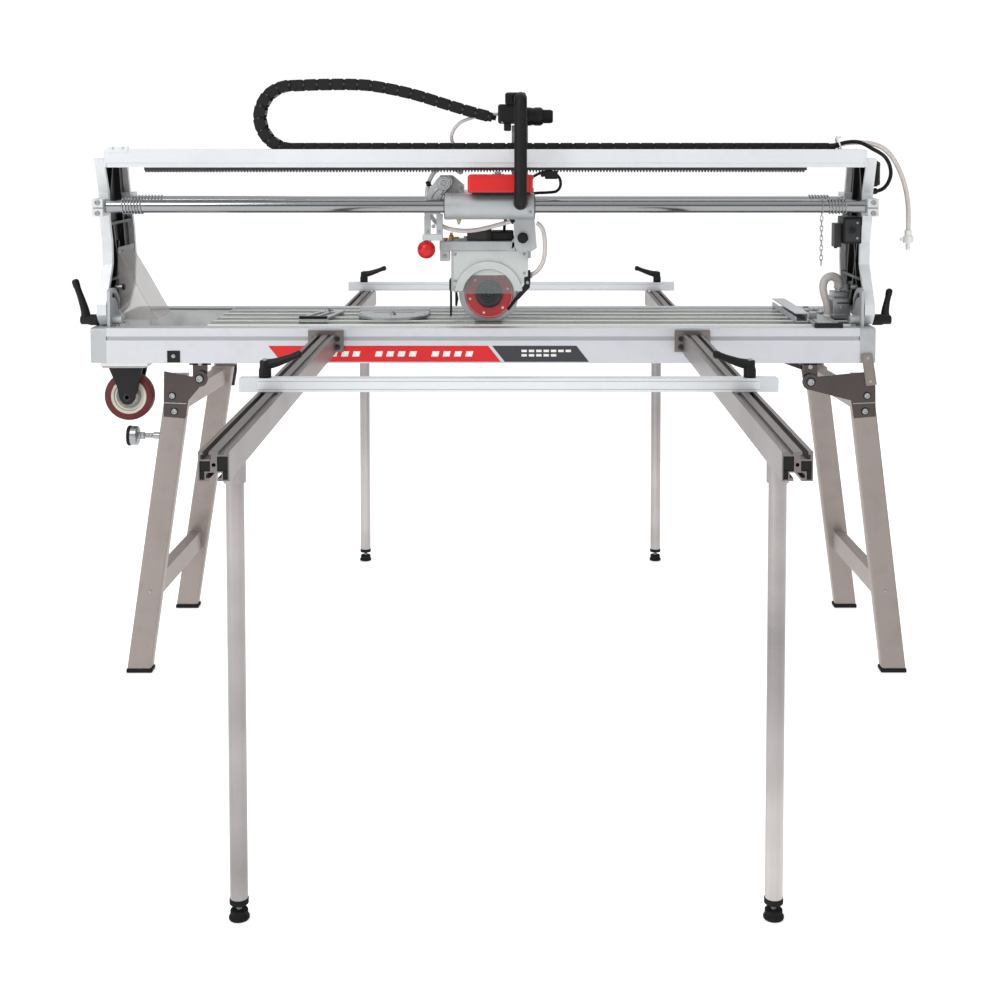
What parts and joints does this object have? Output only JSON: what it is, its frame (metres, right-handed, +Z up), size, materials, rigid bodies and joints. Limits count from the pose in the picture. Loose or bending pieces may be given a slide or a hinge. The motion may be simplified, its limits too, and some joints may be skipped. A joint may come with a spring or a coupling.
{
  "type": "rail tile saw",
  "caption": "Long water table on folding trestles with a tilting rail bridge, a sliding motor-fed tile cutting head and side extension arms.",
  "frame": {"origin": "centre of the plan outline without the free hose, on the floor under the feet", "axes": "+X along the cut towards the control box side, +Y from the front extension to the rear one, +Z up"},
  "size_m": [1.7579, 2.063, 1.208],
  "materials": {
    "anodised": "satin anodised",
    "cast_alloy": "cast",
    "sheet_zinc": "plain",
    "slat_alloy": "worn satin",
    "black_metal": "satin black",
    "bright_steel": "polished",
    "leg_tube": "satin",
    "black_rubber": "matte",
    "wheel": "matte",
    "black_plastic": "matte",
    "red_plastic": "gloss",
    "grey_plastic": "matte",
    "clear_sheet": "frosted",
    "clear_tube": "clear",
    "grey_paint": "satin",
    "blade_steel": "labelled",
    "white_plastic": "matte"
  },
  "bodies": {
    "frame": {"rails": "anodised", "end_caps": "cast_alloy", "tray": "sheet_zinc", "slats": "slat_alloy", "fixed_lugs": "black_metal", "pivot_plates": "black_metal", "caster_forks": "black_metal", "pump": "grey_plastic", "arm_brackets": "anodised", "arms": "anodised", "extension_legs": "anodised"},
    "foot_screw_front_left": {"foot_front_left": "black_rubber"},
    "foot_screw_front_right": {"foot_front_right": "black_rubber"},
    "foot_screw_rear_left": {"foot_rear_left": "black_rubber"},
    "foot_screw_rear_right": {"foot_rear_right": "black_rubber"},
    "front_wheel": {"wheel_front": "wheel"},
    "left_trestle": {"trestle_left": "leg_tube"},
    "right_trestle": {"trestle_right": "leg_tube"},
    "bumper": {"bumper_foot": "black_rubber"},
    "bridge": {"uprights": "cast_alloy", "upright_webs": "black_metal", "beam": "anodised", "rack": "black_metal", "guide_bars": "bright_steel", "bar_springs": "bright_steel", "splash_shield": "clear_sheet", "control_boxes": "black_plastic", "power_cable": "black_rubber", "chain_lower": "black_plastic", "feed_hose": "clear_tube", "hose_connector": "white_plastic"},
    "valve": {"valve_lever": "black_plastic"},
    "left_tilt_lock": {"tilt_lever_left": "black_plastic"},
    "right_tilt_lock": {"tilt_lever_right": "black_plastic"},
    "chain_curve": {"chain_loop": "black_plastic"},
    "carriage": {"carriage": "cast_alloy", "feed_motor": "red_plastic", "head_brackets": "cast_alloy", "switch_head": "black_plastic", "handle": "black_plastic", "chain_upper": "black_plastic", "water_hoses": "clear_tube", "head_hose": "clear_tube"},
    "pinion": {"feed_pinion": "bright_steel"},
    "plunge": {"plunge_arm": "cast_alloy"},
    "head": {"head_body": "grey_paint", "guard": "grey_plastic", "guard_window": "clear_sheet"},
    "blade": {"blade": "blade_steel"},
    "start_button": {"rocker": "black_plastic"},
    "front_cross_bar": {"front_bar": "anodised"},
    "rear_cross_bar": {"rear_bar": "anodised"},
    "front_left_clamp": {"lever_front_left": "black_plastic"},
    "front_right_clamp": {"lever_front_right": "black_plastic"},
    "rear_left_clamp": {"lever_rear_left": "black_plastic"},
    "rear_right_clamp": {"lever_rear_right": "black_plastic"},
    "gauge_plate": {"mitre_gauge": "grey_paint"},
    "stop_plate": {"stop_slider": "grey_paint"},
    "fence_guide": {"fence": "grey_paint"}
  },
  "joints": [
    {"name": "bridge_tilt", "type": "hinge", "parent": "frame", "child": "bridge", "pos_m": [-0.005, 0.1765, 0.712], "axis": [1, 0, 0], "range_deg": [0, 45]},
    {"name": "left_tilt_lock_turn", "type": "hinge", "parent": "frame", "child": "left_tilt_lock", "pos_m": [-0.827, 0.1765, 0.712], "axis": [1, 0, 0], "range_deg": [-60, 40]},
    {"name": "right_tilt_lock_turn", "type": "hinge", "parent": "frame", "child": "right_tilt_lock", "pos_m": [0.827, 0.1765, 0.712], "axis": [1, 0, 0], "range_deg": [-30, 60]},
    {"name": "carriage_slide", "type": "slide", "parent": "bridge", "child": "carriage", "axis": [1, 0, 0], "range_m": [-0.6, 0.55], "deforming": ["chain_lower", "chain_upper"]},
    {"name": "chain_curve_slide", "type": "slide", "parent": "bridge", "child": "chain_curve", "axis": [1, 0, 0], "range_m": [-0.3, 0.275]},
    {"name": "pinion_spin", "type": "hinge", "parent": "carriage", "child": "pinion", "pos_m": [0.025, 0.1665, 1.0055], "axis": [0, 1, 0], "range_deg": [-2700, 2700]},
    {"name": "head_plunge", "type": "hinge", "parent": "carriage", "child": "head", "pos_m": [0.076, 0.2565, 0.881], "axis": [0, 1, 0], "range_deg": [0, 15], "deforming": ["head_hose"]},
    {"name": "plunge_swing", "type": "hinge", "parent": "carriage", "child": "plunge", "pos_m": [-0.083, 0.1795, 0.998], "axis": [0, 1, 0], "range_deg": [0, 11.3]},
    {"name": "blade_spin", "type": "hinge", "parent": "head", "child": "blade", "pos_m": [0.005, 0.2315, 0.76], "axis": [0, 1, 0], "continuous": true},
    {"name": "start_press", "type": "slide", "parent": "carriage", "child": "start_button", "axis": [0, 1, 0], "range_m": [0, 0.002], "stiffness_N_per_m": 400},
    {"name": "valve_turn", "type": "hinge", "parent": "bridge", "child": "valve", "pos_m": [0.731, 0.2165, 0.884], "axis": [1, 0, 0], "range_deg": [0, 90]},
    {"name": "left_trestle_fold", "type": "hinge", "parent": "frame", "child": "left_trestle", "pos_m": [-0.583, 0.3365, 0.597], "axis": [0, -1, 0], "range_deg": [0, 98]},
    {"name": "right_trestle_fold", "type": "hinge", "parent": "frame", "child": "right_trestle", "pos_m": [0.663, 0.3365, 0.59], "axis": [0, 1, 0], "range_deg": [0, 98]},
    {"name": "bumper_screw", "type": "slide", "parent": "left_trestle", "child": "bumper", "axis": [-1, 0, 0], "range_m": [0, 0.012]},
    {"name": "front_wheel_spin", "type": "hinge", "parent": "frame", "child": "front_wheel", "pos_m": [-0.74, 0.1865, 0.553], "axis": [0, 1, 0], "continuous": true},
    {"name": "front_bar_slide", "type": "slide", "parent": "frame", "child": "front_cross_bar", "axis": [0, 1, 0], "range_m": [-0.42, 0.65]},
    {"name": "rear_bar_slide", "type": "slide", "parent": "frame", "child": "rear_cross_bar", "axis": [0, 1, 0], "range_m": [-0.43, 0]},
    {"name": "front_left_clamp_turn", "type": "hinge", "parent": "front_cross_bar", "child": "front_left_clamp", "pos_m": [-0.335, -0.5655, 0.7], "axis": [0, 0, 1], "range_deg": [-90, 90]},
    {"name": "front_right_clamp_turn", "type": "hinge", "parent": "front_cross_bar", "child": "front_right_clamp", "pos_m": [0.431, -0.5655, 0.7], "axis": [0, 0, 1], "range_deg": [-90, 90]},
    {"name": "rear_left_clamp_turn", "type": "hinge", "parent": "rear_cross_bar", "child": "rear_left_clamp", "pos_m": [-0.335, 1.0145, 0.7], "axis": [0, 0, 1], "range_deg": [-90, 90]},
    {"name": "rear_right_clamp_turn", "type": "hinge", "parent": "rear_cross_bar", "child": "rear_right_clamp", "pos_m": [0.431, 1.0145, 0.7], "axis": [0, 0, 1], "range_deg": [-90, 90]},
    {"name": "gauge_turn", "type": "hinge", "parent": "frame", "child": "gauge_plate", "pos_m": [-0.202, 0.2965, 0.705], "axis": [0, 0, 1], "range_deg": [-25, 25]},
    {"name": "stop_slide", "type": "slide", "parent": "frame", "child": "stop_plate", "axis": [1, 0, 0], "range_m": [-0.17, 0.01]},
    {"name": "fence_slide", "type": "slide", "parent": "frame", "child": "fence_guide", "axis": [1, 0, 0], "range_m": [-0.25, 0.005]},
    {"name": "foot_screw_front_left_turn", "type": "slide", "parent": "frame", "child": "foot_screw_front_left", "axis": [0, 0, -1], "range_m": [0, 0.03]},
    {"name": "foot_screw_front_right_turn", "type": "slide", "parent": "frame", "child": "foot_screw_front_right", "axis": [0, 0, -1], "range_m": [0, 0.03]},
    {"name": "foot_screw_rear_left_turn", "type": "slide", "parent": "frame", "child": "foot_screw_rear_left", "axis": [0, 0, -1], "range_m": [0, 0.03]},
    {"name": "foot_screw_rear_right_turn", "type": "slide", "parent": "frame", "child": "foot_screw_rear_right", "axis": [0, 0, -1], "range_m": [0, 0.03]}
  ],
  "couplings": [
    {"joint": "chain_curve_slide", "follows": "carriage_slide", "ratio": 0.5},
    {"joint": "pinion_spin", "follows": "carriage_slide", "rad_per_m": -76.923},
    {"joint": "plunge_swing", "follows": "head_plunge", "ratio": 0.75}
  ]
}
